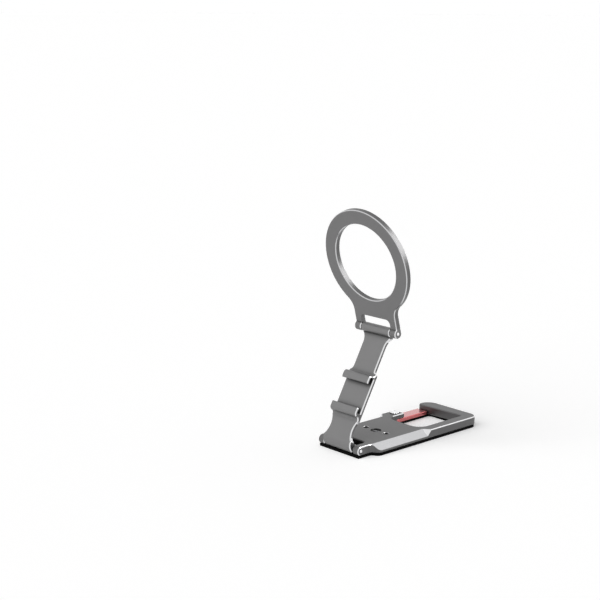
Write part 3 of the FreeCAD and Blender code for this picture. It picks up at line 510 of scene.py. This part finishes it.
# Magnet stack. A plain steel yoke and nickel-plated magnet segments in the ring's recess, under a soft matt
# cover that is glued in flush with the rims.
YOKE_STEEL = (0.5, 0.5, 0.51)
NICKEL = (0.66, 0.64, 0.60)
COVER_BLACK = (0.018, 0.018, 0.019)
paint("ring_yoke", turned_metal("yoke_rolled", YOKE_STEEL, roughness=0.38, lines=1800.0))
paint("ring_magnets", turned_metal("magnet_nickel", NICKEL, roughness=0.25, lines=1200.0))
paint("ring_cover", matt_moulded("cover_silicone", COVER_BLACK, grain=5200.0, depth=0.015 * MM, gloss=0.2))

# Stage. A white floor without end that is lifted to white for the eye and in reflections, and keeps its
# shadow, under a white studio. A broad soft key lights matt surfaces, and a soft box shows in bright ones.
WHITE = (1.0, 1.0, 1.0, 1.0)
FLOOR_WHITE = (0.9, 0.9, 0.9, 1.0)
FLOOR_ROUGHNESS = 0.9
FLOOR_LIFT = 0.21
FLOOR_SIZE = 200.0
STUDIO_FILL = 0.45
KEY_FROM = (-0.78, 0.1, 0.6)
KEY_STRENGTH = 2.2
KEY_ANGLE = math.radians(60)
BOX_PLACE = Vector((0.48, -0.62, 0.58))
BOX_WIDTH = 0.36
BOX_HEIGHT = 0.8
BOX_WATTS = 7.2
BOX_TARGET = Vector((0, 0, 0.05))


def seen(nodes):
    """1 for rays from the eye and for those that a reflection or a clear piece sends on."""
    path = nodes.add("ShaderNodeLightPath").outputs
    mirrored = nodes.math("MAXIMUM", path["Is Glossy Ray"], path["Is Transmission Ray"])
    return nodes.math("MAXIMUM", path["Is Camera Ray"], mirrored)


def floor_corners(size):
    """The four corners of a flat square about the origin, on the level that the object stands on."""
    u, v = np.meshgrid((-size / 2, size / 2), (-size / 2, size / 2))
    return np.stack([u, v, np.zeros_like(u)], axis=-1).reshape(-1, 3)


floor_mesh = bpy.data.meshes.new("floor")
floor_mesh.from_pydata(floor_corners(FLOOR_SIZE).tolist(), [], [(0, 1, 3, 2)])
floor = bpy.data.objects.new("floor", floor_mesh)
bpy.context.scene.collection.objects.link(floor)
floor_nodes = new_finish("floor_white")
floor_nodes.set(Base_Color=FLOOR_WHITE, Roughness=FLOOR_ROUGHNESS, Specular_IOR_Level=0.0,
                Emission_Strength=floor_nodes.spread(seen(floor_nodes), 0.0, FLOOR_LIFT),
                Emission_Color=WHITE)
floor_mesh.materials.append(floor_nodes.owner)

studio = Nodes(bpy.data.worlds.new("studio"), "Background")
studio.set(Color=WHITE, Strength=studio.spread(seen(studio), STUDIO_FILL, 1.0))
bpy.context.scene.world = studio.owner


def hang_lamp(name, lamp, towards):
    """Puts a lamp in the scene, turned so that it shines along a direction."""
    holder = bpy.data.objects.new(name, lamp)
    holder.rotation_euler = towards.to_track_quat("-Z", "Y").to_euler()
    bpy.context.scene.collection.objects.link(holder)
    return holder


key_lamp = bpy.data.lights.new("key", "SUN")
key_lamp.energy = KEY_STRENGTH
key_lamp.angle = KEY_ANGLE
key = hang_lamp("key", key_lamp, -Vector(KEY_FROM))
key.visible_glossy = False

box_lamp = bpy.data.lights.new("right_box", "AREA")
box_lamp.shape = "RECTANGLE"
box_lamp.size = BOX_WIDTH
box_lamp.size_y = BOX_HEIGHT
box_lamp.energy = BOX_WATTS
right_box = hang_lamp("right_box", box_lamp, BOX_TARGET - BOX_PLACE)
right_box.location = BOX_PLACE
right_box.visible_diffuse = False

# Camera. At the photograph's viewing angle and distance, from behind the hinge and a little above. Its place
# is given from the foot of the base hinge, and its lens by the focal length in pixels of the square frame.
CAMERA_AZIMUTH = math.radians(-42.303)
CAMERA_ELEVATION = math.radians(12.307)
CAMERA_ROLL = math.radians(0.376)
CAMERA_DISTANCE = 694.085 * MM
CAMERA_SHIFT_RIGHT = -22.013 * MM
CAMERA_SHIFT_UP = 79.323 * MM
FOCAL_PIXELS = 1323.676
FRAME_PIXELS = 600.0
SENSOR_MM = 36.0

foot = Vector((hinge_at["base_hinge"].x, 0, 0))
away = Vector((math.sin(CAMERA_AZIMUTH) * math.cos(CAMERA_ELEVATION),
               -math.cos(CAMERA_AZIMUTH) * math.cos(CAMERA_ELEVATION),
               math.sin(CAMERA_ELEVATION)))
right = Vector((math.cos(CAMERA_AZIMUTH), math.sin(CAMERA_AZIMUTH), 0))
upward = away.cross(right)
rolled_right = right * math.cos(CAMERA_ROLL) + upward * math.sin(CAMERA_ROLL)
rolled_up = upward * math.cos(CAMERA_ROLL) - right * math.sin(CAMERA_ROLL)
spot = foot + right * CAMERA_SHIFT_RIGHT + upward * CAMERA_SHIFT_UP + away * CAMERA_DISTANCE
turn = Matrix((rolled_right, rolled_up, away)).transposed()

lens = bpy.data.cameras.new("view")
lens.sensor_width = SENSOR_MM
lens.lens = FOCAL_PIXELS * SENSOR_MM / FRAME_PIXELS
camera = bpy.data.objects.new("view", lens)
camera.matrix_world = Matrix.Translation(spot) @ turn.to_4x4()
bpy.context.scene.collection.objects.link(camera)
bpy.context.scene.camera = camera
bpy.context.scene.view_settings.view_transform = "Standard"
